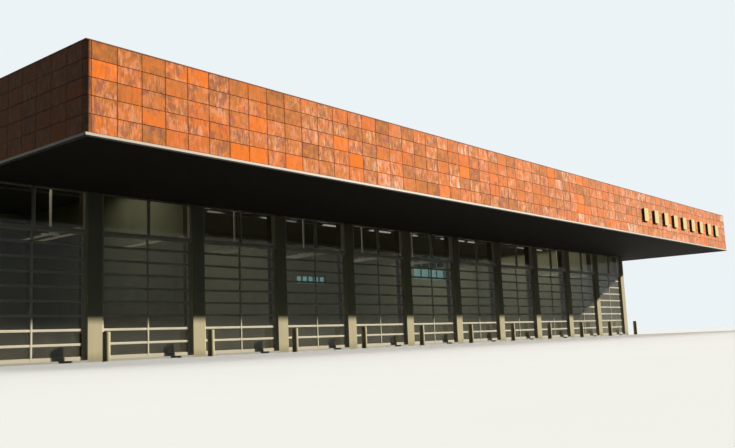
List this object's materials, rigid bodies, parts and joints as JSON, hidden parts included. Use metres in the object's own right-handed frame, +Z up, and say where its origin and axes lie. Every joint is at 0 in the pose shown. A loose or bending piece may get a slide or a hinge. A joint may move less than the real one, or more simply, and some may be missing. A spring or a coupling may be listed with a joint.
{
  "type": "fire station building, 1:2 scale model",
  "caption": "Long flat-roofed vehicle hall with a row of glazed sectional doors between steel columns, under a deep overhanging roof box clad in weathering-steel panels.",
  "frame": {"origin": "middle of the whole building's footprint under the roof, at ground level", "axes": "+X along the door front to the right as seen from the forecourt, +Y into the building, +Z up"},
  "size_m": [28.378, 10.71, 4.533],
  "materials": {
    "column_steel": "satin",
    "concrete": "matte",
    "wall_render": "matte",
    "glazing": "gloss",
    "door_metal": "satin",
    "window_metal": "satin",
    "track_metal": "satin",
    "soffit_boards": "matte",
    "ceiling_lining": "matte",
    "roof_steel": "matte",
    "roof_membrane": "matte",
    "trim_metal": "satin",
    "coping_metal": "matte",
    "post_metal": "satin",
    "weathering_steel": "matte"
  },
  "bodies": {
    "root": {"front_columns": "column_steel", "floor_slab": "concrete", "left_wall": "wall_render", "right_wall": "wall_render", "back_wall": "wall_render", "partition_wall": "wall_render", "door_glass": "glazing", "transom_glass": "glazing", "back_window_frames": "window_metal", "door_tracks": "track_metal", "back_window_glass": "glazing", "front_soffit": "soffit_boards", "side_soffit": "soffit_boards", "hall_ceiling": "ceiling_lining", "roof_beams": "roof_steel", "roof_deck": "roof_membrane", "fascia_trim": "trim_metal", "parapet_coping": "coping_metal", "guard_posts": "post_metal", "front_fascia": "weathering_steel", "back_fascia": "weathering_steel", "left_fascia": "weathering_steel", "right_fascia": "weathering_steel", "bay_frame_01": "column_steel", "bay_door_01": "door_metal", "bay_frame_02": "column_steel", "bay_door_02": "door_metal", "bay_frame_03": "column_steel", "bay_door_03": "door_metal", "bay_frame_04": "column_steel", "bay_door_04": "door_metal", "bay_frame_05": "column_steel", "bay_door_05": "door_metal", "bay_frame_06": "column_steel", "bay_door_06": "door_metal", "bay_frame_07": "column_steel", "bay_door_07": "door_metal", "bay_frame_08": "column_steel", "bay_door_08": "door_metal", "bay_frame_09": "column_steel", "bay_door_09": "door_metal", "bay_frame_10": "column_steel", "bay_door_10": "door_metal", "bay_frame_11": "column_steel", "bay_door_11": "door_metal"}
  },
  "joints": []
}
